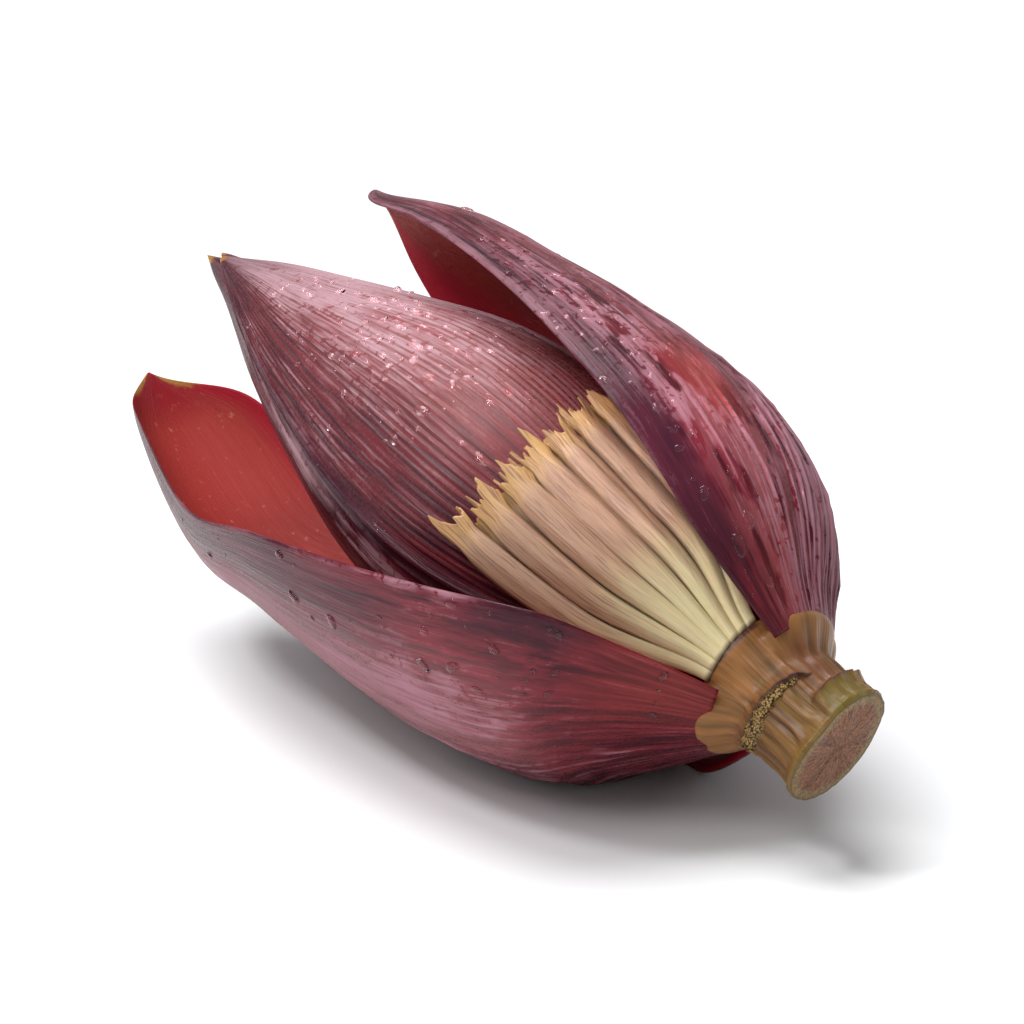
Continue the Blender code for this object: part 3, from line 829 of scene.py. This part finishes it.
def stalkPiece():
    # r(z) + ribs + shoulders under the bracts + two scar ledges, each a jump along its own line z(angle)
    columns, rows, faceRings, topRings = 400, 200, 36, 3
    degrees = np.linspace(-180, 180, columns, endpoint=False)[None, :]
    angle = np.radians(degrees)

    def unevenLine(angles, heights, sway, pitch, seed):
        line = smooth(stalk[angles], stalk[heights], degrees) / 1000
        return line + sway * (drift(degrees / pitch + 60, 0 * degrees, seed) - 0.5)

    steps = np.array(stalk["profile"])[::-1]
    z = np.linspace(steps[-1, 0], stalk["end"], rows)[:, None]
    radius = smooth(steps[:, 0], steps[:, 1], z) + 0 * angle
    for low, full, fullEnd, high, edge, flare in stalk["pads"]:
        for turn in (0, -360):
            d = degrees - turn
            span = ease(d, low, full) * (1 - ease(d, fullEnd, high))
            edgeHere = edge + 0.0012 * (cloud(d / 16 + 40, 0 * d, 77) - 0.5)
            climb = ease(z, edgeHere - 0.0105, edgeHere - 0.0008)**1.4
            radius += flare * span * climb * (1 - ease(z, edgeHere - 0.0012, edgeHere + 0.0022)**2)
    wobble = drift(degrees / 11 + 40, z * 140 + 9, 71) - 0.5
    ribWave = np.sin(stalk["ribs"] * angle + 3.2 * wobble)
    strength = 0.35 + 1.1 * drift(degrees / 30 + 20, z * 90 + 5, 78)
    fade = ease(-z, -0.001, 0.009) * (1 - 0.75 * ease(-z, 0.0245, 0.03))
    radius += stalk["ribHeight"] * strength * ribWave * fade
    radius += 0.0006 * (cloud(degrees / 25 + 20, z * 120 + 5, 72) - 0.5)
    rough = drift(degrees / 2.3 + 90, z * 900 + 40, 79) - 0.5
    scar = unevenLine("scarAngles", "scarHeights", 0.0005, 5, 80)
    bandEnd = unevenLine("scarAngles", "bandEnds", 0.001, 6, 83)
    scarOn = ease(degrees, -128, -78) * (1 - ease(degrees, 25, 42))
    d = z - scar
    lip = 0.0016 * np.exp(-np.maximum(d, 0) / 0.0022) * ease(d, -0.0003, 0.0)
    band = ease(-d, 0.0, 0.0003) * (1 - ease(-(z - bandEnd), -0.0006, 0.0002))
    radius += scarOn * (lip + band * (0.0007 + 0.0005 * rough))
    ledge = unevenLine("ledgeAngles", "ledgeHeights", 0.0008, 6, 84)
    ledgeOn = ease(degrees, 12, 32) * (1 - ease(degrees, 112, 140))
    e = z - ledge
    shelf = 0.0022 * np.exp(-np.abs(e) / np.where(e > 0, 0.0008, 0.005)) + 0.0006 * ease(-e, -0.0004, 0.0)
    radius += ledgeOn * shelf
    radius += 0.0022 * bump(degrees, -52, 34) * ease(-z, 0.0262, 0.03)        # a heel at the cut end
    radius += 0.0007 * bump(z, -0.0292, 0.001) * (0.2 + cloud(degrees / 12 + 40, 0 * z, 73))
    tilt = stalk["tilt"] * (1 - np.cos(angle - radians(stalk["tiltFrom"]))) / 2
    k = np.linspace(1, 0, faceRings + 1)[1:-1][:, None]
    grained = cloud(7 * k * np.cos(angle) + 30, 7 * k * np.sin(angle) + 30, 74) - 0.5
    faceZ = stalk["end"] + 0.001 * (1 - k**8) * grained + 0.0005 * (k - 0.8)**2
    faceZ += tilt * k + stalk["tilt"] * (1 - k) / 2
    topRadius = radius[:1] * np.array([0.3, 0.6, 0.9])[:, None]
    allRadius = np.concatenate([topRadius, radius, radius[-1:] * k])
    allZ = np.concatenate([np.full((topRings, columns), z[0, 0]), z + tilt * ease(-z, 0.018, 0.0305), faceZ])
    a = radians(stalk["lean"])
    x, y = allRadius * np.cos(angle), allRadius * np.sin(angle)
    rings = layDown(np.stack([x, y * cos(a) + allZ * sin(a), -y * sin(a) + allZ * cos(a)], -1))
    deg = degrees + 0 * allZ
    sideRings = np.zeros((topRings + rows, columns))
    onFace = np.concatenate([sideRings, np.ones((faceRings - 1, columns))])
    kk = np.concatenate([sideRings + 1, k + 0 * angle])
    gold = scarOn * ease(-(allZ - scar), 0.0002, 0.0005) * (1 - ease(-(allZ - bandEnd), -0.0002, 0.0003))
    purple = scarOn * bump(allZ, scar + 0.0001, 0.00045) * (0.15 + 0.85 * ease(deg, -5, 12))
    purple += ledgeOn * bump(allZ, ledge + 0.0003, 0.0005) * (1 - ease(deg, 62, 80))
    purple += 0.8 * ease(allZ, 0.003, 0.0042) * (1 - ease(np.abs(deg), 28, 40))
    green = 0.9 * ledgeOn * ease(-(allZ - ledge), 0.0, 0.0012) * (1 - ease(deg, 62, 78))
    green += 0.5 * ease(-allZ, 0.0265, 0.03) * (1 - ease(deg, 60, 90))
    rightGrain = ledgeOn * ease(deg, 66, 80) * ease(-(allZ - ledge), 0.0, 0.0006)
    tan = ease(allZ, -0.0125, -0.004) * (1.1 - 0.5 * cloud(deg / 20 + 30, allZ * 300 + 9, 75))
    ribLight = np.concatenate([np.zeros((topRings, columns)), ribWave, np.zeros((faceRings - 1, columns))])
    tan += 0.3 * ribLight * ease(-allZ, -0.002, 0.008)
    red = 0.5 * bump(deg, 50, 24) * ease(-allZ, 0.003, 0.008) * (1 - ease(-allZ, 0.018, 0.0215))
    red += 0.3 * scarOn * bump(allZ, scar + 0.0014, 0.0013)
    side = 1 - onFace
    tone = stack(tan, np.maximum(gold, 0.65 * rightGrain), green, purple) * side[..., None]
    edge = 0.83 + 0.07 * (cloud(deg / 20 + 60, 0 * deg, 76) - 0.5)
    core = (1 - ease(kk, edge - 0.06, edge + 0.03)) * onFace
    trim = stack(onFace, core, ease(kk, 0.955, 0.985) * onFace, red * side)
    grain = np.stack([deg / 360 * 0.1 + 0.3 * onFace, allZ + 0.016 * (1 - kk)], -1)
    made = closedRings("stalkBody", rings, stalkPaint, grain, tone, trim)
    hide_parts("peduncle")
    return made


# where the drops lie: a piece, how many, the middle and spread of u and s, and the size range in metres
sprinkles = [
    {"on": "bractFront", "count": 160, "u": (0.52, 0.15), "s": (0.2, 0.36),
     "size": (0.00085, 0.002), "seed": 1},
    {"on": "bractFront", "count": 100, "u": (0.5, 0.22), "s": (0.05, 0.5),
     "size": (0.0004, 0.0009), "seed": 2},
    {"on": "bractRight", "count": 100, "u": (0.4, 0.14), "s": (-0.78, 0.11),
     "size": (0.0008, 0.0023), "seed": 3},
    {"on": "bractRight", "count": 60, "u": (0.42, 0.2), "s": (-0.62, 0.2),
     "size": (0.0003, 0.0009), "seed": 5},
    {"on": "bractLeft", "count": 50, "u": (0.36, 0.22), "s": (0.82, 0.1),
     "size": (0.0004, 0.0017), "seed": 4},
]
drop = {"sides": 12, "levels": 3, "sunk": -0.16, "flatness": (0.34, 0.5), "stretch": (0.9, 1.6),
        "wobble": (0.14, 0.09)}


def waterDrops():
    # low domes (w(a) cos e cos a, w(a) cos e sin a, h sin e) with w = 1 + p sin(2a + q) + r sin(3a + t),
    # stretched along the surface and sunk a little into it
    sides, levels = drop["sides"], drop["levels"]
    a = np.linspace(0, 2 * pi, sides, endpoint=False)[None, :]
    e = np.linspace(drop["sunk"], pi / 2, levels + 2)[:-1][:, None]
    perDrop = (levels + 1) * sides + 1
    ring = np.arange(sides)
    allPoints = []
    for group in sprinkles:
        rng = np.random.default_rng(group["seed"])
        count = group["count"]
        place, normal = surfaces[group["on"]]
        rows, columns = place.shape[:2]
        i = (np.clip(rng.normal(*group["u"], count), 0.05, 0.8) * (rows - 1)).astype(int)
        j = (np.clip(0.5 + 0.5 * rng.normal(*group["s"], count), 0.02, 0.98) * (columns - 1)).astype(int)
        low, high = group["size"]
        size = low + (high - low) * rng.random(count)**2.4
        spots, kept = place[i, j], []
        for k in range(count):          # a drop that would touch an earlier one is left out
            gaps = np.linalg.norm(spots[kept] - spots[k], axis=-1)
            if np.all(gaps > 1.5 * (size[kept] + size[k])):
                kept.append(k)
        i, j, size, count = i[kept], j[kept], size[kept][:, None], len(kept)
        n = normal[i, j]
        along = place[i + 2, j] - place[i - 2, j]
        along /= np.linalg.norm(along, axis=-1, keepdims=True)
        side = np.cross(n, along)
        turn = rng.uniform(-0.8, 0.8, count)[:, None]
        long, wide = along * np.cos(turn) + side * np.sin(turn), side * np.cos(turn) - along * np.sin(turn)
        stretch = rng.uniform(*drop["stretch"], count)[:, None]
        tall = rng.uniform(*drop["flatness"], count)[:, None]
        q, t = rng.uniform(0, 2 * pi, (2, count))[:, :, None]
        outline = 1 + drop["wobble"][0] * np.sin(2 * a + q) + drop["wobble"][1] * np.sin(3 * a + t)
        x = (outline * np.cos(a))[:, None, :] * np.cos(e)
        y = (outline * np.sin(a))[:, None, :] * np.cos(e)
        z = np.broadcast_to(np.sin(e), x.shape)
        dome = np.stack([x, y, z], -1).reshape(count, -1, 3)
        dome = np.concatenate([dome, np.broadcast_to([0, 0, 1.0], (count, 1, 3))], 1)
        frames = np.stack([size * stretch * long, size * wide, size * tall * n], 1)
        allPoints.append((place[i, j][:, None] + dome @ frames).reshape(-1, 3))
    points = np.concatenate(allPoints)
    starts = (np.arange(len(points) // perDrop) * perDrop)[:, None, None]
    faces = [gridFaces(levels + 1, sides, True), fan(levels * sides + ring, perDrop - 1), ring[None, ::-1]]
    faces = [(group[None] + starts).reshape(-1, group.shape[1]) for group in faces]
    made = makePiece("waterDrops", points, faces, waterPaint)
    made.visible_shadow = False         # light reaches the skin under clear water
    return made


pieces = [stalkPiece()]
print("stalk made")
core = budHeart()
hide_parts("bud_heart")
pieces.append(core)
for name, given in closedBracts.items():
    pieces.append(closedBract(name, given))
print("bud made")
for name, given in openBracts.items():
    pieces.append(openBract(name, given))
print("opened bracts made")
number = 0
for row in flowerRows.values():
    for k in range(row["count"]):
        number += 1
        share = (k + row["shift"]) / (flowerRows["front"]["count"] - 1)
        pieces.append(flower(number, share, row))
print("flowers made")
pieces.append(waterDrops())
print("drops made")
for made in pieces:
    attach(made, "root")


studio = {"floor": 12.0, "sun": 2.9, "sunSpread": 40, "world": 0.345, "azimuth": 46.864, "elevation": 16.0,
          "distance": 0.7802, "lens": 85, "target": (-0.16046, 0.06029, 0.0)}
floorMesh = bpy.data.meshes.new("floor")
w = studio["floor"]
floorMesh.from_pydata([(-w, -w, 0), (w, -w, 0), (w, w, 0), (-w, w, 0)], [], [(0, 1, 2, 3)])
floorPaint, _, floorShader = newMaterial("floorPaint", (0.86, 0.87, 0.88), 0.6)
floorShader.inputs["Base Color"].default_value = (0.88, 0.89, 0.9, 1)
floorShader.inputs["Specular IOR Level"].default_value = 0.2
floorMesh.materials.append(floorPaint)
floor = bpy.data.objects.new("floor", floorMesh)
scene.collection.objects.link(floor)


def areaLight(name, place, aim, size, power, spread=180):
    data = bpy.data.lights.new(name, "AREA")
    data.size, data.energy, data.spread = size, power, radians(spread)
    made = bpy.data.objects.new(name, data)
    made.location = place
    made.rotation_euler = (Vector(aim) - Vector(place)).to_track_quat("-Z", "Y").to_euler()
    scene.collection.objects.link(made)
    return made


azimuth, elevation = radians(studio["azimuth"]), radians(studio["elevation"])
target = np.array(lie["neck"]) + np.array(studio["target"])
toCamera = np.array([sin(azimuth) * cos(elevation), -cos(azimuth) * cos(elevation), sin(elevation)])
toLeft = np.array([-cos(azimuth), -sin(azimuth), 0])
away = np.array([-sin(azimuth), cos(azimuth), 0])
up = np.array([0, 0, 1.0])
areaLight("keyLight", target + 0.62 * up + 0.45 * toLeft + 0.28 * toCamera, target, 0.16, 2.4)
areaLight("frontFill", target + 0.65 * toCamera + 0.6 * up + 0.35 * toLeft, target, 0.4, 1.8)
areaLight("leftFill", target + 0.3 * toCamera + 0.7 * toLeft + 0.4 * up, target, 0.3, 0.8)
areaLight("sideFill", target + 0.35 * up - 0.85 * toLeft + 0.35 * away, target, 0.4, 0.6)
# the flowers would be dark under the right bract
heart = target - 0.044 * toLeft + 0.066 * up - 0.14 * away
areaLight("flowerLight", heart + 0.45 * toCamera + 0.12 * up + 0.3 * toLeft, heart, 0.05, 0.0115, 7)
sunData = bpy.data.lights.new("softSun", "SUN")
sunData.energy, sunData.angle = studio["sun"], radians(studio["sunSpread"])
sun = bpy.data.objects.new("softSun", sunData)
sun.rotation_euler = Vector(up + 0.22 * toLeft + 0.26 * away).to_track_quat("Z", "Y").to_euler()
scene.collection.objects.link(sun)
world = bpy.data.worlds.new("paleRoom")
scene.world = world
world.use_nodes = True
background = world.node_tree.nodes["Background"]
background.inputs["Color"].default_value = (0.97, 0.985, 1, 1)
lightPath = add(world.node_tree, "LightPath")
level = add(world.node_tree, "MapRange")      # white to the camera, dimmer as a light
level.inputs["To Min"].default_value, level.inputs["To Max"].default_value = studio["world"], 1.0
feed(world.node_tree, level.inputs["Value"], lightPath.outputs["Is Camera Ray"])
feed(world.node_tree, background.inputs["Strength"], level.outputs["Result"])
scene.view_settings.view_transform = "Standard"

cameraData = bpy.data.cameras.new("camera")
cameraData.lens = studio["lens"]
cameraData.sensor_width = 36
camera = bpy.data.objects.new("camera", cameraData)
scene.collection.objects.link(camera)
camera.location = target + studio["distance"] * toCamera
camera.rotation_euler = (Vector(target) - camera.location).to_track_quat("-Z", "Y").to_euler()
scene.camera = camera
print("stage ready")
